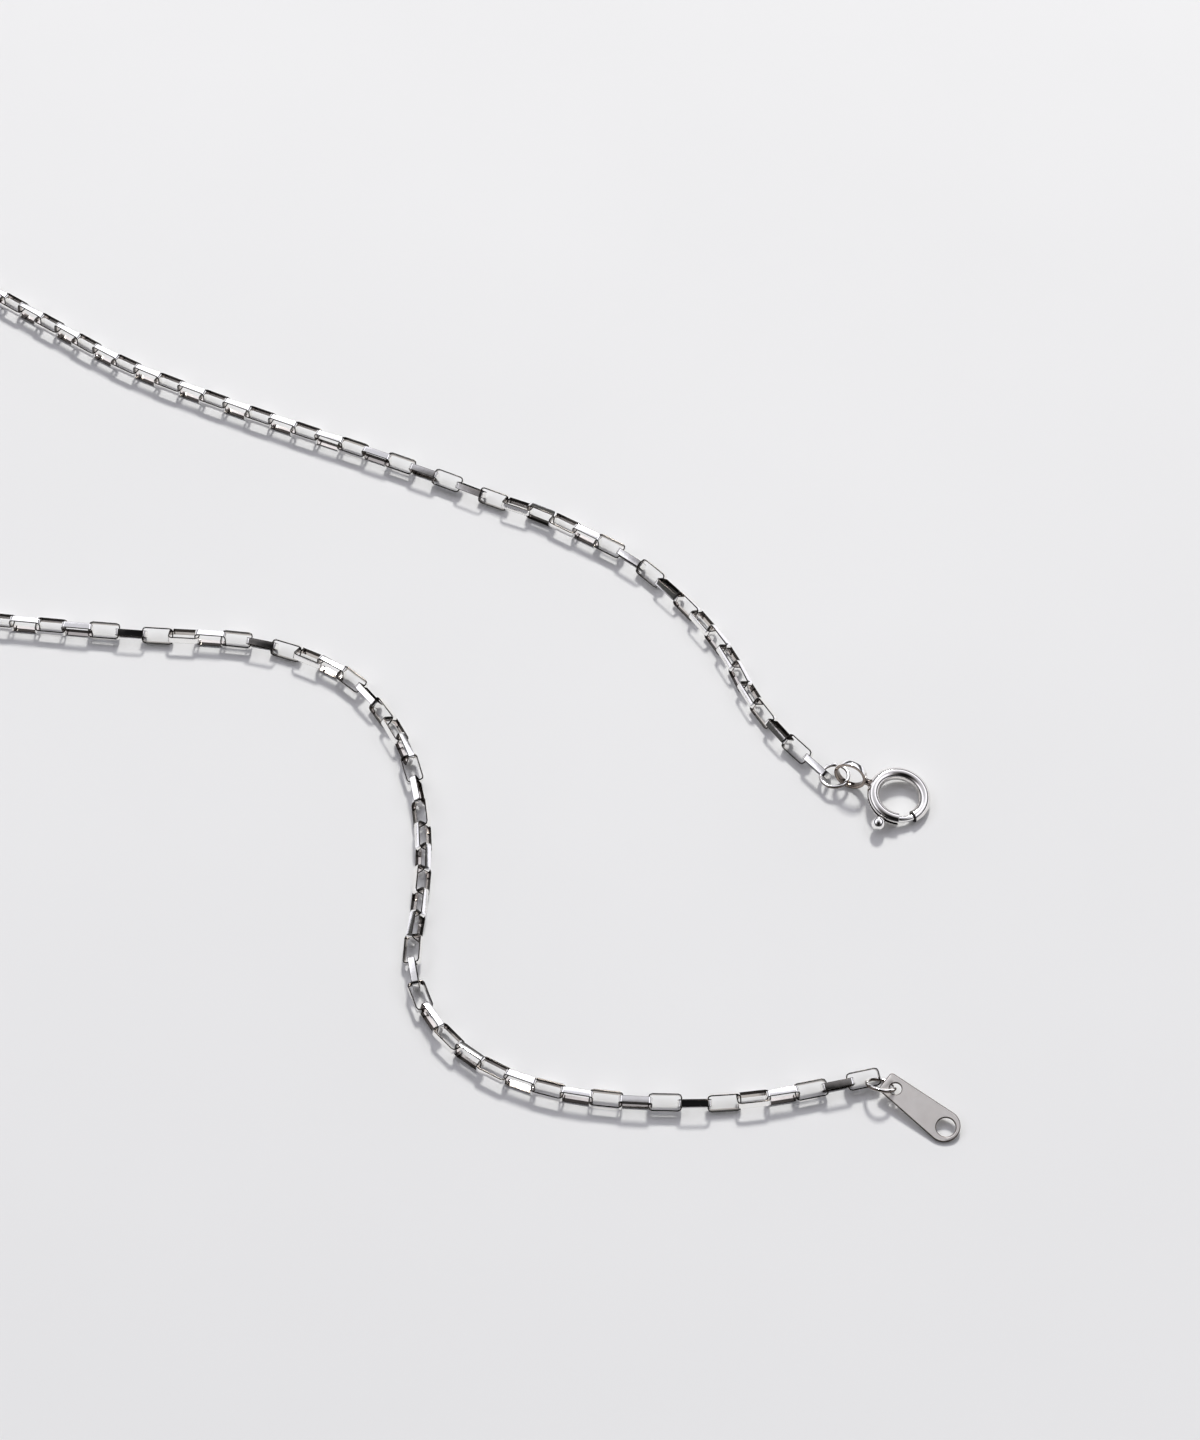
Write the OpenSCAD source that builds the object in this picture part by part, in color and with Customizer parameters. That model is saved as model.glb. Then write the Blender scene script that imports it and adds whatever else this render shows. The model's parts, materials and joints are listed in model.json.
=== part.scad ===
// Box chain necklace with a spring ring clasp and an end tag, lying open on a surface.
// Millimetres. The surface is z = 0, the viewer stands towards -Y, the clasp and the tag are at +X,
// and the loop of chain runs out to -X. The origin is under the middle of the outline.

/* [Chain] */
// Distance from one link to the next when the chain is pulled taut
link_pitch = 2.42; // [2.2:0.02:2.8]
// Play between two links when the chain is pulled taut
link_play = 0.17; // [0.13:0.01:0.3]
// Breadth of a link, outside
link_breadth = 1.5; // [1.4:0.05:1.8]
// Width of the flat ribbon that a link is folded from
ribbon_width = 0.58; // [0.4:0.02:0.7]
// Thickness of the ribbon
ribbon_wall = 0.1; // [0.06:0.01:0.14]
// Outer radius of a link's corners
link_corner = 0.33; // [0.2:0.01:0.4]

/* [Clasp ring] */
// Outside width of the ring
clasp_width = 5.5; // [5:0.1:7]
// Diameter of the tube
tube_d = 1.05; // [0.95:0.05:1.2]
// Wall of the tube
tube_wall = 0.16; // [0.12:0.01:0.2]
// Width of the slot that the thumb ball's post runs in
slot_width = 0.36; // [0.32:0.02:0.5]
// Angle of the mouth, between the tube's open end and its receiving end
mouth_angle = 34; // [28:1:38]
// Angle from the eye round to the tube's open end
open_end_angle = 111; // [105:1:120]
// Outside diameter of the eye soldered to the ring
eye_d = 2.9; // [2.6:0.1:3.1]
// Wall of the eye
eye_wall = 0.3; // [0.2:0.02:0.34]
// Width of the eye's band
eye_width = 0.55; // [0.4:0.05:0.6]
// Gap from the tube to the eye, which the solder neck bridges
neck_length = 0.3; // [0.1:0.05:0.4]
// Diameter of the solder neck
neck_d = 0.6; // [0.4:0.05:0.7]

/* [Clasp gate] */
// Clearance between the bolt and the tube's bore, on the radius
bolt_clearance = 0.08; // [0.06:0.01:0.12]
// Angle that the thumb ball stands at from the eye when the clasp is shut
ball_angle = 80; // [76:1:90]
// Angle that the thumb ball travels
gate_travel = 50; // [40:1:56]
// Diameter of the thumb ball
ball_d = 1.2; // [1:0.05:1.3]
// Diameter of the ball's post
post_d = 0.22; // [0.16:0.02:0.24]
// Gap from the tube to the ball's flat underside
ball_gap = 0.09; // [0.08:0.01:0.2]

/* [Jump rings] */
// Diameter of the wire of both rings
wire_d = 0.32; // [0.26:0.02:0.34]
// Outside diameter of the ring that joins the chain to the clasp
clasp_loop_d = 2.7; // [2.6:0.05:3.2]
// Outside diameter of the ring that joins the chain to the tag
tag_loop_d = 2.68; // [2.6:0.05:3.2]
// Play between a jump ring and the link that it runs through
loop_play = 0.2; // [0.15:0.01:0.3]

/* [End tag] */
// Distance between the tag's two holes
hole_spacing = 5.17; // [4.5:0.1:8]
// Diameter of the large hole, which takes the clasp
tag_hole_d = 1.6; // [1.4:0.05:1.8]
// Diameter of the small hole, which takes the jump ring
small_hole_d = 1; // [0.95:0.05:1.1]
// Breadth of the tag's wide end
wide_breadth = 2.7; // [2.6:0.05:3.5]
// Breadth of the tag's narrow end
narrow_breadth = 1.86; // [1.8:0.02:2.2]
// Thickness of the tag
tag_thickness = 0.3; // [0.2:0.02:0.34]

/* [Hidden] */
$fn = 48;
silver = [0.8, 0.8, 0.82];
overlap = 0.02;
X = 0;
Y = 1;
Z = 2;
TWIST = 2;
SLACK = 3;

// The chain's way from the clasp round the loop to the tag, at the height of its links' middles.
// Columns: x, y, twist of the chain in degrees, slack as a share of link_pitch.
route = [
    [81.0, -25.6, -69, 0],
    [77.0, -21.1, -48, 0.02],
    [74.6, -17.3, -34, 0.115],
    [73.0, -13.6, -36, 0.12],
    [70.7, -9.8, -30, 0.075],
    [67.7, -6.1, -43, 0.015],
    [64.3, -2.8, -63, 0.025],
    [60.5, -0.4, -90, 0.03],
    [56.2, 2.1, -107, 0.025],
    [52.1, 3.8, -131, 0.05],
    [47.8, 5.8, -152, 0.035],
    [43.4, 7.7, -166, 0.02],
    [39.1, 9.5, -177, 0.025],
    [34.7, 11.3, -182, 0.04],
    [26.3, 14.9, -184, 0.04],
    [17.8, 19.0, -185, 0.05],
    [10.3, 23.9, -187, 0.115],
    [-14.7, 40.7, -186, 0.037],
    [-41.2, 55.0, -184, 0.037],
    [-70.6, 59.0, -183, 0.037],
    [-90.3, 38.8, -181, 0.037],
    [-78.0, 12.7, -180, 0.037],
    [-50.8, 0.3, -178, 0.037],
    [-21.2, -5.5, -176, 0.037],
    [8.6, -9.6, -175, 0.055],
    [13.1, -10.1, -178, 0.04],
    [17.9, -10.6, -196, 0.005],
    [22.6, -11.0, -228, 0.03],
    [27.2, -11.3, -265, 0.04],
    [31.8, -11.9, -298, 0.05],
    [36.1, -13.4, -333, 0.085],
    [39.9, -15.8, -369, 0.07],
    [42.7, -19.2, -406, 0.115],
    [44.7, -23.0, -433, 0.12],
    [45.9, -27.3, -471, 0.015],
    [46.5, -32.9, -499, 0.1],
    [46.2, -39.3, -490, 0.075],
    [45.8, -44.0, -461, 0.06],
    [46.9, -48.2, -440, 0.045],
    [49.7, -52.0, -431, 0],
    [53.3, -54.5, -440, 0],
    [57.2, -56.0, -444, 0],
    [62.0, -56.9, -453, 0],
    [67.0, -57.2, -467, 0],
    [71.7, -57.1, -497, 0],
    [76.5, -56.5, -538, 0],
    [80.7, -55.6, -561, 0.09],
    [84.1, -54.8, -560, 0.12],
];
route_steps = 12;

// A smooth curve through the route: slopes by the length between rows, fair also where rows crowd.
last_row = len(route) - 1;
gaps = [for (i = [0:last_row - 1]) norm([route[i + 1][X] - route[i][X], route[i + 1][Y] - route[i][Y]])];
slopes = [for (i = [0:last_row - 1]) (route[i + 1] - route[i]) / gaps[i]];
function rate(i) = i == 0 ? slopes[0]
    : i == last_row ? slopes[last_row - 1]
    : (slopes[i - 1] * gaps[i] + slopes[i] * gaps[i - 1]) / (gaps[i - 1] + gaps[i]);
rates = [for (i = [0:last_row]) rate(i)];
function on_route(i, t) = route[i] * (1 + 2 * t) * (1 - t) ^ 2
    + rates[i] * gaps[i] * t * (1 - t) ^ 2
    + route[i + 1] * t ^ 2 * (3 - 2 * t)
    - rates[i + 1] * gaps[i] * t ^ 2 * (1 - t);
trail = [
    for (i = [0:last_row - 1], k = [0:route_steps - 1]) on_route(i, k / route_steps),
    route[last_row],
];

// How many links fit from the start to each point of the trail, with the slack of each place.
last_point = len(trail) - 1;
function stride(i) = norm([trail[i + 1][X] - trail[i][X], trail[i + 1][Y] - trail[i][Y]]);
function local_pitch(i) = link_pitch * (1 - max(0, (trail[i][SLACK] + trail[i + 1][SLACK]) / 2));
counts = [
    for (
        i = 0, total = 0;
        i <= last_point;
        total = total + (i < last_point ? stride(i) / local_pitch(i) : 0), i = i + 1
    ) total,
];
// An odd number of links, so that both end links keep their turn for the jump rings.
link_count = 2 * ceil((counts[last_point] - 1) / 2) + 1;
x_table = [for (i = [0:last_point]) [counts[i], trail[i][X]]];
y_table = [for (i = [0:last_point]) [counts[i], trail[i][Y]]];
twist_table = [for (i = [0:last_point]) [counts[i], trail[i][TWIST]]];
centring = [0.13, -0.16];
function joint(k) = let (n = k * counts[last_point] / link_count)
    [lookup(n, x_table) + centring[X], lookup(n, y_table) + centring[Y], lookup(n, twist_table)];
joints = [for (k = [0:link_count]) joint(k)];

// Each link spans two joints; the chain's middle lies as high as its widest corner asks.
link_length = link_pitch + link_play + 2 * ribbon_wall;
function half_height(breadth, width, twist) = (breadth * abs(cos(twist)) + width * abs(sin(twist))) / 2;
function chain_height(twist) = max(
    half_height(link_breadth, ribbon_width, twist),
    half_height(ribbon_width, link_breadth, twist)
);

// Place of a jump ring that one end link hangs on, and of what hangs on the ring in turn.
loop_inset = ribbon_wall + wire_d / 2 + loop_play;
function beside(place, reach, azimuth, height) =
    [place[X] + reach * cos(azimuth), place[Y] + reach * sin(azimuth), height];

// Clasp jump ring: one limb in the first link, the other in the eye.
first_joint = joints[0];
clasp_loop_r = (clasp_loop_d - wire_d) / 2;
clasp_loop_azimuth = -8;
clasp_loop_lean = [-5, -4, 0];
clasp_loop_slack = 0.07;
clasp_loop_rise = 0.07;
clasp_loop_at = beside(
    first_joint,
    clasp_loop_r - loop_inset - clasp_loop_slack,
    clasp_loop_azimuth,
    chain_height(first_joint[TWIST]) + clasp_loop_rise
);

// Clasp: local +X points at the eye, which holds that side up off the surface.
ring_r = (clasp_width - tube_d) / 2;
bore_r = tube_d / 2 - tube_wall;
eye_r = eye_d / 2;
eye_distance = ring_r + tube_d / 2 + neck_length + eye_r;
eye_lean = 10;
eye_reach = eye_r * cos(eye_lean) + eye_width / 2 * sin(eye_lean);
clasp_tilt = asin((eye_reach - tube_d / 2) / (ring_r + eye_distance));
clasp_height = ring_r * sin(clasp_tilt) + tube_d / 2;
eye_azimuth = 156;
eye_from_loop_azimuth = -10;
eye_inset = 0.94;
eye_from_loop = clasp_loop_r - wire_d / 2 + eye_r - eye_wall / 2 - eye_inset;
eye_run = eye_distance * cos(clasp_tilt);
eye_at = beside(clasp_loop_at, eye_from_loop, eye_from_loop_azimuth, clasp_height);
clasp_at = beside(eye_at, -eye_run, eye_azimuth, clasp_height);
tube_angle = 360 - mouth_angle;
slot_spare_angle = 10;
slot_start = ball_angle - gate_travel - slot_spare_angle;
slot_angle = open_end_angle - slot_start;
cut_angle = 1;

// Gate: the bolt bridges the mouth and enters the receiving end.
bolt_r = bore_r - bolt_clearance;
bolt_entry_angle = 5;
bolt_tail_angle = 18;
bolt_start = ball_angle - bolt_tail_angle;
bolt_angle = open_end_angle + mouth_angle + bolt_entry_angle - bolt_start;
ball_floor = tube_d / 2 + ball_gap;
ball_kept_share = 0.41;
ball_centre = ball_floor + ball_d * ball_kept_share;

// Tag jump ring, and the tag resting on its wide end with its narrow end on the ring.
last_joint = joints[link_count];
tag_loop_r = (tag_loop_d - wire_d) / 2;
tag_loop_azimuth = -65;
tag_loop_lean = -41;
tag_loop_turn = -16;
tag_loop_pull = 0.19;
tag_loop_rise = 0.135;
tag_loop_at = beside(
    last_joint,
    tag_loop_r - loop_inset + tag_loop_pull,
    tag_loop_azimuth,
    chain_height(last_joint[TWIST]) + tag_loop_rise
);
small_hole_azimuth = -18;
small_hole_slack = 0.06;
small_hole_rise = 0.02;
small_hole_at = beside(
    tag_loop_at,
    tag_loop_r + small_hole_slack,
    small_hole_azimuth,
    tag_loop_at[Z] + small_hole_rise
);
tag_azimuth = -39;
tag_roll = 12;
wide_r = wide_breadth / 2;
wide_setback = 0.2;
narrow_overhang = 1.12;
narrow_corner = 0.3;

// Slope at which the wide end's lowest edge just touches the surface, found in a few steps.
slope_steps = 8;
function wide_height(lean) = wide_r * sin(lean) + tag_thickness / 2 * cos(lean);
function settled_slope(slope, step) = step == 0 ? slope : settled_slope(
    asin((small_hole_at[Z] - wide_height(acos(cos(tag_roll) * cos(slope)))) / (hole_spacing - wide_setback)),
    step - 1
);
tag_slope = settled_slope(0, slope_steps);

// Outline of a link or of its opening: a rectangle with round corners.
module round_rectangle(length, breadth, radius) {
    square([length - 2 * radius, breadth], center = true);
    square([length, breadth - 2 * radius], center = true);
    for (sx = [-1, 1], sy = [-1, 1]) {
        translate([sx * (length / 2 - radius), sy * (breadth / 2 - radius)]) circle(r = radius);
    }
}

// One link, its ring in the XY plane and its length along X.
module link() {
    linear_extrude(height = ribbon_width, center = true) difference() {
        round_rectangle(link_length, link_breadth, link_corner);
        round_rectangle(
            link_length - 2 * ribbon_wall,
            link_breadth - 2 * ribbon_wall,
            link_corner - ribbon_wall
        );
    }
}

// Link k between its two joints, odd links turned by a right angle.
module placed_link(k) {
    start = joints[k];
    finish = joints[k + 1];
    middle = (start + finish) / 2;
    heading = atan2(finish[Y] - start[Y], finish[X] - start[X]);
    roll = middle[TWIST] + 90 * (k % 2);
    translate([middle[X], middle[Y], chain_height(middle[TWIST])])
        rotate([0, 0, heading]) rotate([-roll, 0, 0]) link();
}

module box_chain() {
    color(silver) for (k = [0:link_count - 1]) placed_link(k);
}

// Wire ring about the Z axis.
module wire_ring(radius) {
    rotate_extrude() translate([radius, 0]) circle(d = wire_d);
}

module clasp_jump_ring() {
    color(silver) translate(clasp_loop_at) rotate(clasp_loop_lean) wire_ring(clasp_loop_r);
}

// Turns a clasp piece from the ring's own plane to where the clasp lies.
module in_clasp() {
    translate(clasp_at) rotate([0, 0, eye_azimuth]) rotate([0, -clasp_tilt, 0]) children();
}

// Bent bar round the clasp's axis: its start and angle are counted from the eye.
module bent_bar(start, angle, radius) {
    rotate([0, 0, start]) rotate_extrude(angle = angle) translate([ring_r, 0]) circle(r = radius);
}

// Tube of the ring, with the slot in its outer side running out at the open end.
module clasp_tube() {
    difference() {
        bent_bar(open_end_angle + mouth_angle, tube_angle, tube_d / 2);
        bent_bar(open_end_angle + mouth_angle - cut_angle, tube_angle + 2 * cut_angle, bore_r);
        rotate([0, 0, slot_start]) rotate_extrude(angle = slot_angle + cut_angle)
            translate([ring_r, -slot_width / 2]) square([tube_d, slot_width]);
    }
}

// Band eye standing across the ring, with the solder neck that holds it.
module clasp_eye() {
    difference() {
        translate([ring_r + bore_r + overlap, 0, 0]) rotate([0, 90, 0])
            cylinder(d = neck_d, h = tube_wall + neck_length + eye_wall / 2);
        translate([eye_distance, 0, 0]) rotate([90 + eye_lean, 0, 0])
            cylinder(r = eye_r - eye_wall + overlap, h = 2 * eye_width, center = true);
    }
    translate([eye_distance, 0, 0]) rotate([90 + eye_lean, 0, 0]) difference() {
        cylinder(r = eye_r, h = eye_width, center = true);
        cylinder(r = eye_r - eye_wall, h = 2 * eye_width, center = true);
    }
}

module clasp_ring() {
    color(silver) in_clasp() {
        clasp_tube();
        clasp_eye();
    }
}

// Bolt with its post and thumb ball, which has a flat underside towards the tube.
module clasp_gate() {
    color(silver) in_clasp() {
        bent_bar(bolt_start, bolt_angle, bolt_r);
        rotate([0, 0, ball_angle]) {
            translate([ring_r, 0, 0]) rotate([0, 90, 0]) cylinder(d = post_d, h = ball_centre);
            difference() {
                translate([ring_r + ball_centre, 0, 0]) sphere(d = ball_d);
                translate([ring_r + ball_floor - ball_d, 0, 0]) cube(2 * ball_d, center = true);
            }
        }
    }
}

module tag_jump_ring() {
    color(silver) translate(tag_loop_at) rotate([0, 0, tag_loop_turn]) rotate([tag_loop_lean, 0, 0])
        wire_ring(tag_loop_r);
}

// Points where a straight side touches the corner circle and the wide end.
narrow_x = narrow_corner - narrow_overhang;
narrow_y = narrow_breadth / 2 - narrow_corner;
wide_x = hole_spacing - wide_setback;
side_run = norm([wide_x - narrow_x, narrow_y]);
side_angle = 90 + asin((wide_r - narrow_corner) / side_run) - atan2(narrow_y, wide_x - narrow_x);
side_way = [cos(side_angle), sin(side_angle)];
narrow_touch = [narrow_x, narrow_y] + narrow_corner * side_way;
wide_touch = [wide_x, 0] + wide_r * side_way;

// Outline of the tag, tapering from its wide round end to its narrow end.
module tag_outline() {
    polygon([
        [narrow_touch[X], -narrow_touch[Y]],
        [wide_touch[X], -wide_touch[Y]],
        wide_touch,
        narrow_touch,
    ]);
    translate([wide_x, 0]) circle(r = wide_r);
    translate([-narrow_overhang, -narrow_y]) square([2 * narrow_corner, 2 * narrow_y]);
    for (side = [-1, 1]) translate([narrow_x, side * narrow_y]) circle(r = narrow_corner);
}

module end_tag() {
    color(silver) translate(small_hole_at) rotate([0, 0, tag_azimuth]) rotate([tag_roll, tag_slope, 0])
        linear_extrude(height = tag_thickness, center = true) difference() {
            tag_outline();
            circle(d = small_hole_d);
            translate([hole_spacing, 0]) circle(d = tag_hole_d);
        }
}

box_chain();
clasp_jump_ring();
clasp_ring();
clasp_gate();
tag_jump_ring();
end_tag();
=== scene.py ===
import json
import math

import bmesh
import bpy
import numpy as np
from mathutils import Matrix, Vector


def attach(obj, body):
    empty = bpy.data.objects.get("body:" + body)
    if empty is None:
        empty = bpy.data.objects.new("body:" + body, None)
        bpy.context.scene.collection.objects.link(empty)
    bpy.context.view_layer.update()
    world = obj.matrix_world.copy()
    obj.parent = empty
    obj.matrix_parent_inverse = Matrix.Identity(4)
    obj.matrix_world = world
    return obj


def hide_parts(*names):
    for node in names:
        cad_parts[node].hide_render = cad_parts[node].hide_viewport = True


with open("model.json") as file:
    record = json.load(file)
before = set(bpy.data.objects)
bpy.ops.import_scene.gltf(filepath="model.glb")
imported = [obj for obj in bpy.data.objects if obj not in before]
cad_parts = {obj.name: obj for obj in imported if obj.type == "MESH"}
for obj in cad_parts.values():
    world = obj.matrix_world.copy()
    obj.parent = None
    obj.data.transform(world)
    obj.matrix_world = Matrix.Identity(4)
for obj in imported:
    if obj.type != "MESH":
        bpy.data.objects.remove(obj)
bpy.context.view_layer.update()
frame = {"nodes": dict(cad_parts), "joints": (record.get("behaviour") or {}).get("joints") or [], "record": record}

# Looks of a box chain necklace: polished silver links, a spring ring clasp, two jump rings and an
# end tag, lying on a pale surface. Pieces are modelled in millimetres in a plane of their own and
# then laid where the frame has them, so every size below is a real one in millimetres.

MM = 0.001

# Chain link, folded from flat ribbon. Painted shade on rims and inner walls, counted from 0, bright, to 1, black.
LINK_LENGTH = 2.79
LINK_BREADTH = 1.5
RIBBON_WIDTH = 0.58
RIBBON_WALL = 0.1
LINK_CORNER = 0.33
LINK_EDGE = 0.04
# Painted shade on the link's rims and on the two halves of its inner walls
RIM_PAINTED_SHADE = 1
DARK_HALF_PAINTED_SHADE = 1
LIGHT_HALF_PAINTED_SHADE = 0.3

# Spring ring clasp: angles are counted from the eye
RING_RADIUS = 2.225
TUBE_RADIUS = 0.525
TUBE_WALL = 0.16
TUBE_EDGE = 0.035
TUBE_TARNISH = 0.12
# Painted shade in the tube's bore and on its open end's cut face
BORE_PAINTED_SHADE = 1
TUBE_SIDES = 36
TUBE_STEPS = 108
OPEN_END_ANGLE = 111
MOUTH_ANGLE = 34
SLOT_START_ANGLE = 20
SLOT_HALF_ANGLE = 20
EYE_RADIUS = 1.45
EYE_WALL = 0.3
EYE_WIDTH = 0.55
EYE_EDGE = 0.07
# Painted shade inside the eye and on its rims
EYE_INSIDE_PAINTED_SHADE = 0.85
EYE_RIM_PAINTED_SHADE = 0.6
EYE_LEAN = 10
EYE_DISTANCE = 4.5
EYE_AZIMUTH = 156
EYE_STEPS = 64

# Drop of solder between tube and eye: distance from the ring's middle, and radius there
NECK_PROFILE = ((2.62, 0.4), (2.72, 0.36), (2.82, 0.3), (2.92, 0.28), (3.03, 0.3), (3.16, 0.33))
NECK_TARNISH = 0.75

# Clasp gate: the bolt in the tube and its thumb ball
BOLT_RADIUS = 0.285
BOLT_START_ANGLE = 62
BOLT_END_ANGLE = 150
BOLT_STEPS = 30
BOLT_EDGE = 0.08
BALL_ANGLE = 80
BALL_RADIUS = 0.6
BALL_CENTRE = 3.332
BALL_FLOOR = 2.84
BALL_EDGE = 0.03
BALL_FLOOR_INSET = 0.04
POST_RADIUS = 0.11

# Jump rings: the wire's upper and lower sides are left bright, its flanks get painted shade as dark outlines
WIRE_RADIUS = 0.16
WIRE_BRIGHT_SHARE = 0.72
WIRE_FLANK_PAINTED_SHADE = 0.8
WIRE_STEPS = 72
WIRE_SIDES = 18
SEAM_WIDTH = 0.02
SEAM_NARROWING = 0.93
CLASP_LOOP_RADIUS = 1.19
CLASP_LOOP_SEAM = 70
TAG_LOOP_RADIUS = 1.18
TAG_LOOP_SEAM = 110

# End tag, with its small hole at the origin
HOLE_SPACING = 5.17
TAG_HOLE_RADIUS = 0.8
SMALL_HOLE_RADIUS = 0.5
WIDE_RADIUS = 1.35
WIDE_SETBACK = 0.2
NARROW_BREADTH = 1.86
NARROW_OVERHANG = 1.12
NARROW_CORNER = 0.3
TAG_THICKNESS = 0.3
TAG_EDGE = 0.07
# Painted shade on the tag's side walls and rounded edges
TAG_EDGE_PAINTED_SHADE = 0.9
TAG_AZIMUTH = -39

# Distance under which two points of one mesh are the same
SAME_POINT = 0.0001

# Photographer's view, with the floor point in the middle of the picture
PICTURE_MIDDLE = Vector((61.63, -19.56, 0))
CAMERA_DISTANCE = 346
CAMERA_ELEVATION = 57
LENS = 119.34
SENSOR = 36

# Light: a softbox behind the necklace and a white studio all round. Each list multiplies the
# others: by height, by how near a way comes to the photographer's, and from front to back.
SOFTBOX_ELEVATION = 44
SOFTBOX_AZIMUTH = 8
SOFTBOX_DISTANCE = 1300
SOFTBOX_SIZE = 185
SOFTBOX_POWER = 12
SOFTBOX_TINT = (1, 0.995, 0.955)
STUDIO_STRENGTH = 1.4
STUDIO_BY_HEIGHT = (
    (0, (0.74, 0.74, 0.8)),
    (0.2, (0.74, 0.74, 0.8)),
    (0.26, 0.05),
    (0.52, 0.05),
    (0.6, (0.93, 0.93, 1.0)),
    (0.82, (0.93, 0.93, 1.0)),
    (0.88, (0.46, 0.46, 0.5)),
    (1, (0.42, 0.42, 0.45)),
)
STUDIO_BY_NEARNESS = (
    (0, 1.0),
    (0.7, 1.0),
    (0.76, (0.8, 0.79, 0.8)),
    (0.83, (0.36, 0.35, 0.34)),
    (0.91, (0.19, 0.18, 0.17)),
    (0.96, 0.015),
)
STUDIO_BY_DEPTH = ((0, 0.25), (0.15, 0.25), (0.4, 1.0))
FLOOR_SIZE = 4000


def turned(angle, axis):
    """Turning matrix about one axis, in degrees."""
    return Matrix.Rotation(math.radians(angle), 4, axis)


# Camera, studio and floor


def fill_ramp(ramp, stops):
    """Sets a colour ramp's stops: positions with a colour or a grey."""
    band = ramp.color_ramp
    while len(band.elements) < len(stops):
        band.elements.new(0.5)
    for element, (position, colour) in zip(band.elements, stops):
        element.position = position
        element.color = (*colour, 1) if isinstance(colour, tuple) else (colour, colour, colour, 1)


def set_camera():
    """Camera at the photograph's angle, looking at the middle of the picture."""
    data = bpy.data.cameras.new("photographer")
    data.lens = LENS
    data.sensor_width = SENSOR
    data.sensor_fit = "HORIZONTAL"
    data.clip_start = 0.01
    data.clip_end = 20
    camera = bpy.data.objects.new("photographer", data)
    bpy.context.scene.collection.objects.link(camera)
    lift = math.radians(CAMERA_ELEVATION)
    back = Vector((0, -math.cos(lift), math.sin(lift))) * CAMERA_DISTANCE
    camera.location = (PICTURE_MIDDLE + back) * MM
    camera.rotation_euler = (math.radians(90 - CAMERA_ELEVATION), 0, 0)
    bpy.context.scene.camera = camera


def set_studio():
    """White studio with a dark band below the softbox's height, and dark where the photographer stands."""
    world = bpy.data.worlds.new("studio")
    bpy.context.scene.world = world
    world.use_nodes = True
    nodes, links = world.node_tree.nodes, world.node_tree.links
    background = nodes["Background"]
    way = nodes.new("ShaderNodeTexCoord").outputs["Generated"]
    parts = nodes.new("ShaderNodeSeparateXYZ")
    links.new(way, parts.inputs[0])
    nearness = nodes.new("ShaderNodeVectorMath")
    nearness.operation = "DOT_PRODUCT"
    links.new(way, nearness.inputs[0])
    lift = math.radians(CAMERA_ELEVATION)
    nearness.inputs[1].default_value = (0, -math.cos(lift), math.sin(lift))
    depth = nodes.new("ShaderNodeMapRange")
    depth.inputs["From Min"].default_value = -1
    links.new(parts.outputs["Y"], depth.inputs["Value"])
    shade_so_far = None
    for source, stops in (
        (parts.outputs["Z"], STUDIO_BY_HEIGHT),
        (nearness.outputs["Value"], STUDIO_BY_NEARNESS),
        (depth.outputs["Result"], STUDIO_BY_DEPTH),
    ):
        ramp = nodes.new("ShaderNodeValToRGB")
        fill_ramp(ramp, stops)
        links.new(source, ramp.inputs["Fac"])
        tone = ramp.outputs["Color"]
        if shade_so_far:
            both = nodes.new("ShaderNodeMix")
            both.data_type = "RGBA"
            both.blend_type = "MULTIPLY"
            both.inputs["Factor"].default_value = 1
            links.new(shade_so_far, both.inputs["A"])
            links.new(tone, both.inputs["B"])
            tone = both.outputs["Result"]
        shade_so_far = tone
    links.new(shade_so_far, background.inputs["Color"])
    background.inputs["Strength"].default_value = STUDIO_STRENGTH


def set_softbox():
    """Square softbox behind the necklace, so that shadows fall towards the viewer."""
    data = bpy.data.lights.new("softbox", "AREA")
    data.shape = "SQUARE"
    data.size = SOFTBOX_SIZE * MM
    data.energy = SOFTBOX_POWER
    data.color = SOFTBOX_TINT
    lamp = bpy.data.objects.new("softbox", data)
    bpy.context.scene.collection.objects.link(lamp)
    lift, side = math.radians(SOFTBOX_ELEVATION), math.radians(SOFTBOX_AZIMUTH)
    way = Vector((math.sin(side) * math.cos(lift), math.cos(side) * math.cos(lift), math.sin(lift)))
    lamp.location = (PICTURE_MIDDLE + way * SOFTBOX_DISTANCE) * MM
    lamp.rotation_euler = (-way).to_track_quat("-Z", "Y").to_euler()


def lay_floor():
    """Plain pale surface that the necklace lies on."""
    bpy.ops.object.select_all(action="DESELECT")
    bpy.ops.mesh.primitive_plane_add(size=FLOOR_SIZE * MM)
    floor = bpy.context.object
    floor.name = "floor"
    floor.data.materials.append(pale_board())


# Materials


def new_material(name):
    """Node material with its shader and a helper that adds and wires nodes."""
    material = bpy.data.materials.new(name)
    material.use_nodes = True
    tree = material.node_tree
    shader = tree.nodes["Principled BSDF"]

    def add(kind, wires=(), **settings):
        node = tree.nodes.new("ShaderNode" + kind)
        for key, value in settings.items():
            if key in node.inputs:
                node.inputs[key].default_value = value
            else:
                setattr(node, key.lower(), value)
        for source, target in wires:
            tree.links.new(source, node.inputs[target])
        return node

    return material, shader, add, tree.links


def ramp_of(add, source, *stops):
    """Colour ramp from a value, with stops of position and colour or grey."""
    ramp = add("ValToRGB", [(source, "Fac")])
    fill_ramp(ramp, stops)
    return ramp


def in_millimetres(add, stretch=(1, 1, 1)):
    """Object coordinates in millimetres, stretched where a pattern has a direction."""
    place = add("TexCoord")
    mapping = add("Mapping", [(place.outputs["Object"], "Vector")])
    mapping.inputs["Scale"].default_value = [1000 * s for s in stretch]
    return mapping.outputs["Vector"]


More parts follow.
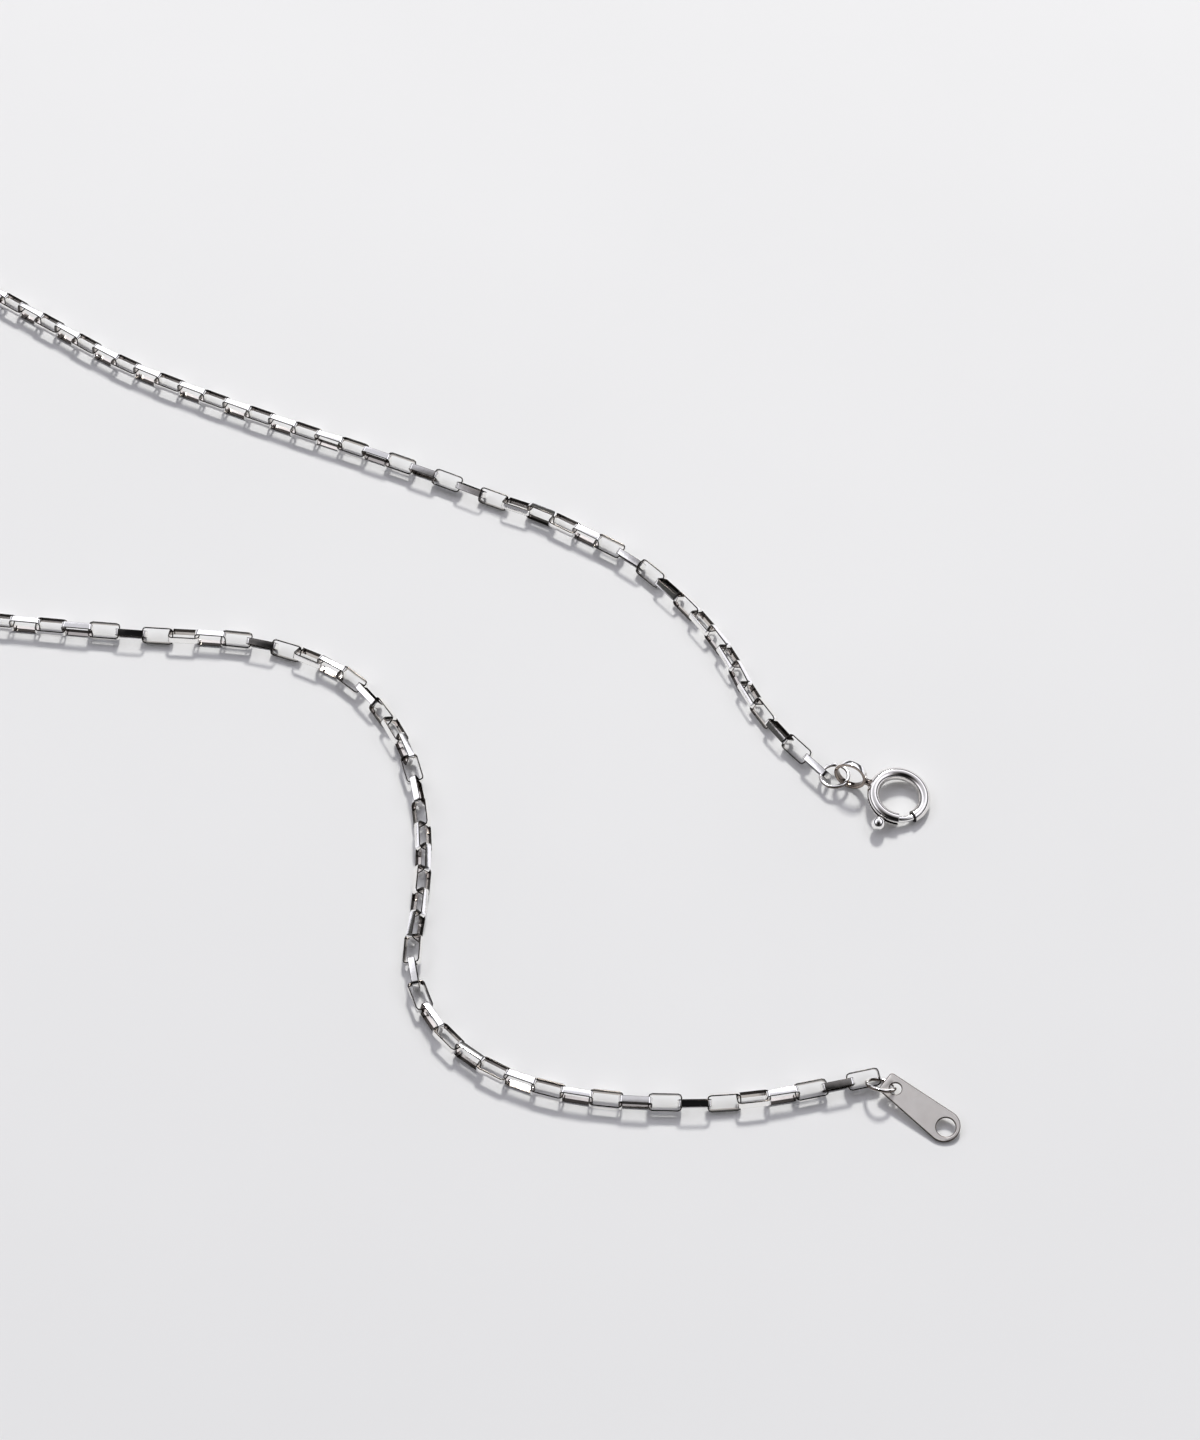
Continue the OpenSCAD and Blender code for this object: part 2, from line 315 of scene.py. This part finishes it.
def tarnish_and_shade_colour(add, tone):
    """Colour of a silver, darkened and browned by each face's note of tarnish and painted shade."""
    tarnish_and_painted_shade = add("Attribute", attribute_name="tarnish_and_painted_shade")
    tarnish_and_shade_tone = ramp_of(
        add, tarnish_and_painted_shade.outputs["Fac"], (0, 1.0), (0.5, (0.42, 0.36, 0.32)), (1, (0.05, 0.045, 0.042))
    )
    wires = [(tone.outputs["Color"], "A"), (tarnish_and_shade_tone.outputs["Color"], "B")]
    return add("Mix", wires, data_type="RGBA", blend_type="MULTIPLY", Factor=1).outputs["Result"]


def pale_board():
    """Smooth pale board with a barely visible mottle."""
    material, shader, add, links = new_material("pale_board")
    place = in_millimetres(add)
    mottle = add("TexNoise", [(place, "Vector")], Scale=0.02, Detail=4)
    tone = ramp_of(add, mottle.outputs["Fac"], (0.3, (0.8, 0.8, 0.8)), (0.7, (0.82, 0.82, 0.82)))
    links.new(tone.outputs["Color"], shader.inputs["Base Color"])
    shader.inputs["Roughness"].default_value = 0.85
    shader.inputs["Specular IOR Level"].default_value = 0.2
    return material


def polished_silver():
    """Bright silver, rubbed smooth: faint clouds, hair scratches and soft dents of the polishing."""
    material, shader, add, links = new_material("polished_silver")
    place = in_millimetres(add)
    clouds = add("TexNoise", [(place, "Vector")], Scale=0.9, Detail=5, Roughness=0.6)
    tone = ramp_of(
        add,
        clouds.outputs["Fac"],
        (0.3, (0.93, 0.915, 0.89)),
        (0.55, (0.97, 0.96, 0.94)),
        (0.8, (0.95, 0.94, 0.945)),
    )
    drawn = in_millimetres(add, (1, 9, 3))
    hairs = add("TexNoise", [(drawn, "Vector")], Scale=6, Detail=3, Roughness=0.7)
    gloss = ramp_of(add, hairs.outputs["Fac"], (0.35, 0.05), (0.6, 0.1), (0.75, 0.17))
    dents = add("TexNoise", [(place, "Vector")], Scale=1.6, Detail=2)
    swell = add("Bump", [(dents.outputs["Fac"], "Height")], Strength=0.25, Distance=0.00003)
    wires = [(hairs.outputs["Fac"], "Height"), (swell.outputs["Normal"], "Normal")]
    fine = add("Bump", wires, Strength=0.12, Distance=0.00001)
    links.new(tarnish_and_shade_colour(add, tone), shader.inputs["Base Color"])
    links.new(gloss.outputs["Color"], shader.inputs["Roughness"])
    links.new(fine.outputs["Normal"], shader.inputs["Normal"])
    shader.inputs["Metallic"].default_value = 1
    return material


def satin_silver():
    """Silver plate with a fine grain along its length, warmer and duller than the links."""
    material, shader, add, links = new_material("satin_silver")
    mark = Vector(mount("tag_hole")["pos_m"])
    place = add("TexCoord")
    aligned = add("Mapping", [(place.outputs["Object"], "Vector")])
    aligned.vector_type = "TEXTURE"
    aligned.inputs["Location"].default_value = mark
    aligned.inputs["Rotation"].default_value = (0, 0, math.radians(TAG_AZIMUTH))
    aligned.inputs["Scale"].default_value = (MM, MM, MM)
    along = add("Mapping", [(aligned.outputs["Vector"], "Vector")])
    along.inputs["Scale"].default_value = (0.25, 7, 1)
    grain = add("TexNoise", [(along.outputs["Vector"], "Vector")], Scale=3.5, Detail=6, Roughness=0.75)
    clouds = add("TexNoise", [(aligned.outputs["Vector"], "Vector")], Scale=0.8, Detail=4)
    tone = ramp_of(add, clouds.outputs["Fac"], (0.3, (0.9, 0.86, 0.82)), (0.7, (0.97, 0.935, 0.9)))
    gloss = ramp_of(add, grain.outputs["Fac"], (0.3, 0.3), (0.7, 0.44))
    bump = add("Bump", [(grain.outputs["Fac"], "Height")], Strength=0.35, Distance=0.00001)
    links.new(tarnish_and_shade_colour(add, tone), shader.inputs["Base Color"])
    links.new(gloss.outputs["Color"], shader.inputs["Roughness"])
    links.new(bump.outputs["Normal"], shader.inputs["Normal"])
    shader.inputs["Metallic"].default_value = 1
    return material


# Where the frame has things


def mount(name):
    """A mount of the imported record, by name."""
    return next(m for m in frame["record"]["mounts"] if m["name"] == name)


def solids_of(node):
    """The separate solids of a CAD node, as merged copies that the caller removes."""
    bpy.ops.object.select_all(action="DESELECT")
    copy = frame["nodes"][node].copy()
    copy.data = copy.data.copy()
    bpy.context.scene.collection.objects.link(copy)
    copy.select_set(True)
    bpy.context.view_layer.objects.active = copy
    bpy.ops.object.mode_set(mode="EDIT")
    bpy.ops.mesh.select_all(action="SELECT")
    bpy.ops.mesh.remove_doubles(threshold=1e-7)
    bpy.ops.mesh.separate(type="LOOSE")
    bpy.ops.object.mode_set(mode="OBJECT")
    return list(bpy.context.selected_objects)


def main_axes(solid):
    """Placement of a solid by its surface: its middle, its longest axis along X, its thinnest along Z."""
    mesh = solid.data
    mesh.calc_loop_triangles()
    points = np.array([vertex.co for vertex in mesh.vertices])
    corners = points[np.array([triangle.vertices for triangle in mesh.loop_triangles])]
    sides = np.cross(corners[:, 1] - corners[:, 0], corners[:, 2] - corners[:, 0])
    areas = np.linalg.norm(sides, axis=1)
    middle = (areas[:, None] * corners.mean(axis=1)).sum(axis=0) / areas.sum()
    arms = corners - middle
    sums = arms.sum(axis=1)
    spread = np.einsum("t,tki,tkj->ij", areas, arms, arms) + np.einsum("t,ti,tj->ij", areas, sums, sums)
    axes = np.linalg.eigh(spread)[1]
    along, across = Vector(axes[:, 2]), Vector(axes[:, 1])
    if along.x < 0:
        along.negate()
    if across.y < 0:
        across.negate()
    return placement(middle, along, across, along.cross(across))


def placement(middle, x_axis, y_axis, z_axis):
    """Matrix that lays a piece modelled in millimetres at a middle, along three axes, in metres."""
    turn = Matrix((x_axis, y_axis, z_axis)).transposed().to_4x4()
    return Matrix.Translation(Vector(middle)) @ turn @ Matrix.Scale(MM, 4)


def places_in(node):
    """Placements of all solids of a node."""
    solids = solids_of(node)
    places = [main_axes(solid) for solid in solids]
    for solid in solids:
        bpy.data.objects.remove(solid)
    return places


def clasp_place():
    """Placement of the clasp: its joint's axis upwards, its eye towards +X."""
    gate_joint = frame["joints"][0]
    up = -Vector(gate_joint["axis"])
    azimuth = math.radians(EYE_AZIMUTH)
    level = Vector((math.cos(azimuth), math.sin(azimuth), 0))
    eye_way = (level - up * level.dot(up)).normalized()
    return placement(gate_joint["pos_m"], eye_way, up.cross(eye_way), up)


def tag_place():
    """Placement of the tag: its small hole at the origin, its large hole along +X."""
    hole = mount("tag_hole")
    middle = places_in("end_tag")[0].translation
    up = Vector(hole["axis"])
    along = Vector(hole["pos_m"]) - middle
    along = (along - up * along.dot(up)).normalized()
    small_hole = Vector(hole["pos_m"]) - along * HOLE_SPACING * MM
    return placement(small_hole, along, up.cross(along), up)


# Modelling


def take(piece):
    """Makes one piece the only selected one."""
    bpy.ops.object.select_all(action="DESELECT")
    piece.select_set(True)
    bpy.context.view_layer.objects.active = piece


def started(name):
    """Names the primitive just added and puts its turn and place into its mesh."""
    piece = bpy.context.object
    piece.name = piece.data.name = name
    bpy.ops.object.transform_apply(location=True, rotation=True, scale=True)
    return piece


def edit(piece):
    """Opens a piece in edit mode with everything selected."""
    take(piece)
    bpy.ops.object.mode_set(mode="EDIT")
    bpy.ops.mesh.select_all(action="SELECT")


def pick(piece, kind, wanted):
    """In edit mode, selects just the vertices, edges or faces that a test wants."""
    bpy.ops.mesh.select_all(action="DESELECT")
    bpy.ops.mesh.select_mode(type=kind)
    shape = bmesh.from_edit_mesh(piece.data)
    for item in {"VERT": shape.verts, "EDGE": shape.edges, "FACE": shape.faces}[kind]:
        item.select_set(wanted(item))
    shape.select_flush_mode()
    bmesh.update_edit_mesh(piece.data)


def leave_edit():
    bpy.ops.object.mode_set(mode="OBJECT")


def modify(piece, kind, **settings):
    """Adds a modifier and applies it."""
    take(piece)
    modifier = piece.modifiers.new(kind.lower(), kind)
    for key, value in settings.items():
        setattr(modifier, key, value)
    bpy.ops.object.modifier_apply(modifier=modifier.name)


def shade(piece, angle=50):
    """Smooth shading with weighted normals."""
    take(piece)
    bpy.ops.object.shade_smooth_by_angle(angle=math.radians(angle))
    modify(piece, "WEIGHTED_NORMAL", mode="FACE_AREA", weight=50, keep_sharp=True)


def spin(piece, start, sweep, steps):
    """Spins all of a piece that lies at angle 0 round the Z axis, from start through sweep, in degrees."""
    edit(piece)
    bpy.ops.mesh.spin(steps=steps, angle=math.radians(-sweep), center=(0, 0, 0), axis=(0, 0, 1))
    leave_edit()
    piece.data.transform(turned(start, "Z"))


def outward(piece):
    """Merges doubles and turns all faces outwards."""
    edit(piece)
    bpy.ops.mesh.remove_doubles(threshold=SAME_POINT)
    bpy.ops.mesh.normals_make_consistent(inside=False)
    leave_edit()


def joined(name, pieces):
    """Joins pieces into one mesh."""
    take(pieces[0])
    for piece in pieces:
        piece.select_set(True)
    bpy.ops.object.join()
    pieces[0].name = pieces[0].data.name = name
    return pieces[0]


def note_tarnish_and_shade(piece, amount_of):
    """Notes on each face how dark it is painted: tarnish, and painted shade on rims, hollows and flanks."""
    if "tarnish_and_painted_shade" not in piece.data.attributes:
        piece.data.attributes.new("tarnish_and_painted_shade", "FLOAT", "FACE")
    notes = piece.data.attributes["tarnish_and_painted_shade"].data
    for face, note in zip(piece.data.polygons, notes):
        note.value = max(note.value, amount_of(face))


def finish_piece(piece, material, body, node):
    """Gives a finished piece its material, and has it stand for its CAD node."""
    piece.data.materials.clear()
    piece.data.materials.append(material)
    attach(piece, body)
    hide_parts(node)


# Pieces


def ribbon_link():
    """One link, folded from ribbon: a rounded rectangle, inset by the ribbon's wall and given its width."""
    bpy.ops.object.select_all(action="DESELECT")
    bpy.ops.mesh.primitive_plane_add(size=1)
    link = started("ribbon_link")
    edit(link)
    bpy.ops.transform.resize(value=(LINK_LENGTH, LINK_BREADTH, 1))
    bpy.ops.mesh.bevel(offset=LINK_CORNER, segments=2, affect="VERTICES")
    bpy.ops.mesh.select_all(action="SELECT")
    bpy.ops.mesh.inset(thickness=RIBBON_WALL)
    bpy.ops.mesh.delete(type="FACE")
    leave_edit()
    modify(link, "SOLIDIFY", thickness=RIBBON_WIDTH, offset=0)
    outward(link)

    def outwardness(normal, middle):
        return normal.x * middle.x + normal.y * middle.y

    def is_inner(face):
        return outwardness(face.normal, face.calc_center_median()) < -0.01

    def is_outer_rim(edge):
        faces = edge.link_faces
        beside_rim = any(abs(face.normal.z) > 0.5 for face in faces)
        beside_outside = any(outwardness(face.normal, face.calc_center_median()) > 0.01 for face in faces)
        return beside_rim and beside_outside

    edit(link)
    pick(link, "FACE", is_inner)
    bpy.ops.mesh.bisect(plane_co=(0, 0, 0), plane_no=(0, 0, 1))
    pick(link, "EDGE", is_outer_rim)
    bpy.ops.mesh.bevel(offset=LINK_EDGE, segments=1)
    leave_edit()
    shade(link, 60)

    # Painted shade: rims black, one half of the inner walls dark and the other half lighter, outer faces left
    # bright
    def link_painted_shade(face):
        if abs(face.normal.z) > 0.3:
            return RIM_PAINTED_SHADE
        if outwardness(face.normal, face.center) > 0:
            return 0
        return DARK_HALF_PAINTED_SHADE if face.center.z > 0 else LIGHT_HALF_PAINTED_SHADE

    note_tarnish_and_shade(link, link_painted_shade)
    return link


def box_chain(silver):
    """The whole chain: a copy of the link in each place that the frame has one."""
    pattern = ribbon_link()
    links = []
    for place in places_in("box_chain"):
        link = pattern.copy()
        link.data = pattern.data.copy()
        link.data.transform(place)
        bpy.context.scene.collection.objects.link(link)
        links.append(link)
    bpy.data.objects.remove(pattern)
    finish_piece(joined("ribbon_chain", links), silver, "necklace", "box_chain")


def wire_ring(name, radius, place, seam_angle):
    """Jump ring of round wire, with the fine line where its ends are soldered."""
    bpy.ops.object.select_all(action="DESELECT")
    bpy.ops.mesh.primitive_torus_add(
        major_radius=radius, minor_radius=WIRE_RADIUS, major_segments=WIRE_STEPS, minor_segments=WIRE_SIDES
    )
    ring = started(name)
    half_step = 180 / WIRE_STEPS
    edit(ring)

    def azimuth(point):
        return (math.degrees(math.atan2(point.y, point.x)) - seam_angle + 180) % 360 - 180

    def on_seam(edge):
        return all(abs(azimuth(vertex.co)) < half_step for vertex in edge.verts)

    pick(ring, "EDGE", on_seam)
    bpy.ops.mesh.bevel(offset=SEAM_WIDTH, segments=2)
    pick(ring, "VERT", lambda vertex: abs(azimuth(vertex.co)) < 0.2)
    middle = turned(seam_angle, "Z") @ Vector((radius, 0, 0))
    bpy.ops.transform.resize(value=[SEAM_NARROWING] * 3, center_override=middle)
    leave_edit()
    bright_height = WIRE_BRIGHT_SHARE * WIRE_RADIUS
    # Painted shade on the wire's flanks, as dark outlines; upper and lower sides left bright
    note_tarnish_and_shade(ring, lambda face: 0 if abs(face.center.z) > bright_height else WIRE_FLANK_PAINTED_SHADE)
    ring.data.transform(place)
    shade(ring)
    return ring


def clasp_tube():
    """Bent tube of the clasp: spun, slotted on its outer side, and given its wall."""
    bpy.ops.object.select_all(action="DESELECT")
    bpy.ops.mesh.primitive_circle_add(
        vertices=TUBE_SIDES,
        radius=TUBE_RADIUS,
        location=(RING_RADIUS, 0, 0),
        rotation=(math.radians(90), 0, 0),
    )
    tube = started("clasp_tube")
    spin(tube, OPEN_END_ANGLE + MOUTH_ANGLE, 360 - MOUTH_ANGLE, TUBE_STEPS)
    edit(tube)

    def in_slot(face):
        middle = face.calc_center_median()
        azimuth = math.degrees(math.atan2(middle.y, middle.x))
        round_tube = math.degrees(math.atan2(middle.z, math.hypot(middle.x, middle.y) - RING_RADIUS))
        return abs(round_tube) < SLOT_HALF_ANGLE and SLOT_START_ANGLE < azimuth < OPEN_END_ANGLE

    pick(tube, "FACE", in_slot)
    bpy.ops.mesh.delete(type="FACE")
    leave_edit()
    outward(tube)
    modify(tube, "SOLIDIFY", thickness=TUBE_WALL, offset=-1, use_even_offset=True)
    modify(
        tube,
        "BEVEL",
        width=TUBE_EDGE,
        segments=2,
        limit_method="ANGLE",
        angle_limit=math.radians(50),
        use_clamp_overlap=False,
    )
    shade(tube)

    # Painted shade in the bore and on the cut face of the open end; elsewhere the tube's slight tarnish
    def bore_shade_and_tube_tarnish(face):
        from_axis = math.hypot(math.hypot(face.center.x, face.center.y) - RING_RADIUS, face.center.z)
        azimuth = math.degrees(math.atan2(face.center.y, face.center.x))
        at_mouth = abs(azimuth - OPEN_END_ANGLE - MOUTH_ANGLE) < 1.5
        return BORE_PAINTED_SHADE if from_axis < TUBE_RADIUS - TUBE_WALL / 2 or at_mouth else TUBE_TARNISH

    note_tarnish_and_shade(tube, bore_shade_and_tube_tarnish)
    return tube


def clasp_eye():
    """Band eye: its rounded section spun round, standing across the ring and leaning a little."""
    bpy.ops.object.select_all(action="DESELECT")
    wall_middle = (EYE_RADIUS - EYE_WALL / 2, 0, 0)
    bpy.ops.mesh.primitive_plane_add(size=1, location=wall_middle, rotation=(math.radians(90), 0, 0))
    eye = started("clasp_eye")
    edit(eye)
    bpy.ops.transform.resize(value=(EYE_WALL, 1, EYE_WIDTH), center_override=wall_middle)
    bpy.ops.mesh.bevel(offset=EYE_EDGE, segments=3, affect="VERTICES")
    bpy.ops.mesh.select_all(action="SELECT")
    bpy.ops.mesh.delete(type="ONLY_FACE")
    leave_edit()
    spin(eye, 0, 360, EYE_STEPS)
    outward(eye)

    # Painted shade inside the eye and on its flat rims; its outer face left bright
    def eye_painted_shade(face):
        if math.hypot(face.center.x, face.center.y) < EYE_RADIUS - EYE_WALL + 0.02:
            return EYE_INSIDE_PAINTED_SHADE
        return EYE_RIM_PAINTED_SHADE if abs(face.normal.z) > 0.5 else 0

    note_tarnish_and_shade(eye, eye_painted_shade)
    eye.data.transform(Matrix.Translation(Vector((EYE_DISTANCE, 0, 0))) @ turned(90 + EYE_LEAN, "X"))
    return eye


def solder_neck():
    """Drop of solder that holds the eye to the tube."""
    bpy.ops.object.select_all(action="DESELECT")
    reach, radius = NECK_PROFILE[0]
    bpy.ops.mesh.primitive_circle_add(
        vertices=20,
        radius=radius,
        location=(reach, 0, 0),
        rotation=(0, math.radians(90), 0),
        fill_type="NGON",
    )
    neck = started("solder_neck")
    edit(neck)
    for (reach, radius), (next_reach, next_radius) in zip(NECK_PROFILE, NECK_PROFILE[1:]):
        bpy.ops.mesh.extrude_region_move(TRANSFORM_OT_translate={"value": (next_reach - reach, 0, 0)})
        bpy.ops.transform.resize(
            value=(1, next_radius / radius, next_radius / radius), center_override=(next_reach, 0, 0)
        )
    leave_edit()
    outward(neck)
    note_tarnish_and_shade(neck, lambda face: NECK_TARNISH)
    return neck


def clasp_ring(silver, place):
    """The clasp's fixed piece: tube, eye and solder in one."""
    ring = joined("spring_ring", [clasp_tube(), clasp_eye(), solder_neck()])
    ring.data.transform(place)
    shade(ring)
    finish_piece(ring, silver, "necklace", "clasp_ring")


def gate_bolt():
    """Bolt of the gate: a rod bent to the ring, with rounded ends."""
    bpy.ops.object.select_all(action="DESELECT")
    bpy.ops.mesh.primitive_circle_add(
        vertices=24,
        radius=BOLT_RADIUS,
        location=(RING_RADIUS, 0, 0),
        rotation=(math.radians(90), 0, 0),
        fill_type="NGON",
    )
    bolt = started("gate_bolt")
    spin(bolt, BOLT_START_ANGLE, BOLT_END_ANGLE - BOLT_START_ANGLE, BOLT_STEPS)
    outward(bolt)
    modify(bolt, "BEVEL", width=BOLT_EDGE, segments=3, limit_method="ANGLE", angle_limit=math.radians(60))
    return bolt


def thumb_ball():
    """Thumb ball, cut flat towards the tube, on its post."""
    bpy.ops.object.select_all(action="DESELECT")
    across = (0, math.radians(90), 0)
    bpy.ops.mesh.primitive_uv_sphere_add(
        segments=32, ring_count=20, radius=BALL_RADIUS, location=(BALL_CENTRE, 0, 0), rotation=across
    )
    ball = started("thumb_ball")
    edit(ball)
    bpy.ops.mesh.bisect(plane_co=(BALL_FLOOR, 0, 0), plane_no=(1, 0, 0), use_fill=True, clear_inner=True)
    pick(ball, "FACE", lambda face: face.calc_center_median().x < BALL_FLOOR + 0.001)
    bpy.ops.mesh.inset(thickness=BALL_FLOOR_INSET)
    leave_edit()
    outward(ball)
    modify(ball, "BEVEL", width=BALL_EDGE, segments=2, limit_method="ANGLE", angle_limit=math.radians(40))
    bpy.ops.object.select_all(action="DESELECT")
    bpy.ops.mesh.primitive_cylinder_add(
        vertices=20,
        radius=POST_RADIUS,
        depth=BALL_CENTRE - RING_RADIUS,
        location=((BALL_CENTRE + RING_RADIUS) / 2, 0, 0),
        rotation=across,
    )
    return joined("thumb_ball", [ball, started("ball_post")])


def clasp_gate(silver, place):
    """The clasp's sliding piece: bolt, post and thumb ball in one."""
    thumb = thumb_ball()
    thumb.data.transform(turned(BALL_ANGLE, "Z"))
    gate = joined("spring_gate", [gate_bolt(), thumb])
    gate.data.transform(place)
    shade(gate)
    finish_piece(gate, silver, "gate", "clasp_gate")


def disc(name, x, y, radius, depth, vertices):
    """Upright cylinder at a place in the tag's plane."""
    bpy.ops.object.select_all(action="DESELECT")
    bpy.ops.mesh.primitive_cylinder_add(vertices=vertices, radius=radius, depth=depth, location=(x, y, 0))
    return started(name)


def end_tag(satin, place):
    """Tapered plate: the hull of a wide disc and two small corner discs, drilled twice and edge-rounded."""
    corner_x, corner_y = NARROW_CORNER - NARROW_OVERHANG, NARROW_BREADTH / 2 - NARROW_CORNER
    plate = joined("tapered_tag", [
        disc("wide_end", HOLE_SPACING - WIDE_SETBACK, 0, WIDE_RADIUS, TAG_THICKNESS, 96),
        disc("corner", corner_x, corner_y, NARROW_CORNER, TAG_THICKNESS, 32),
        disc("corner", corner_x, -corner_y, NARROW_CORNER, TAG_THICKNESS, 32),
    ])
    edit(plate)
    bpy.ops.mesh.convex_hull()
    bpy.ops.mesh.select_all(action="SELECT")
    bpy.ops.mesh.dissolve_limited(angle_limit=math.radians(1))
    leave_edit()
    drills = [
        disc("drill", 0, 0, SMALL_HOLE_RADIUS, 4 * TAG_THICKNESS, 48),
        disc("drill", HOLE_SPACING, 0, TAG_HOLE_RADIUS, 4 * TAG_THICKNESS, 64),
    ]
    for drill in drills:
        modify(plate, "BOOLEAN", object=drill, operation="DIFFERENCE", solver="EXACT")
        bpy.data.objects.remove(drill)
    modify(plate, "BEVEL", width=TAG_EDGE, segments=3, limit_method="ANGLE", angle_limit=math.radians(60))
    # Painted shade on the side walls and rounded edges, as a dark outline; the flat faces left bright
    note_tarnish_and_shade(plate, lambda face: 0 if abs(face.normal.z) > 0.97 else TAG_EDGE_PAINTED_SHADE)
    plate.data.transform(place)
    shade(plate, 40)
    finish_piece(plate, satin, "necklace", "end_tag")


set_camera()
set_studio()
set_softbox()
lay_floor()

bpy.context.scene.view_settings.view_transform = "Standard"

silver = polished_silver()
box_chain(silver)
ring_place = clasp_place()
clasp_ring(silver, ring_place)
clasp_gate(silver, ring_place)
for node, name, radius, seam_angle in (
    ("clasp_jump_ring", "clasp_wire_ring", CLASP_LOOP_RADIUS, CLASP_LOOP_SEAM),
    ("tag_jump_ring", "tag_wire_ring", TAG_LOOP_RADIUS, TAG_LOOP_SEAM),
):
    ring = wire_ring(name, radius, places_in(node)[0], seam_angle)
    finish_piece(ring, silver, "necklace", node)
end_tag(satin_silver(), tag_place())
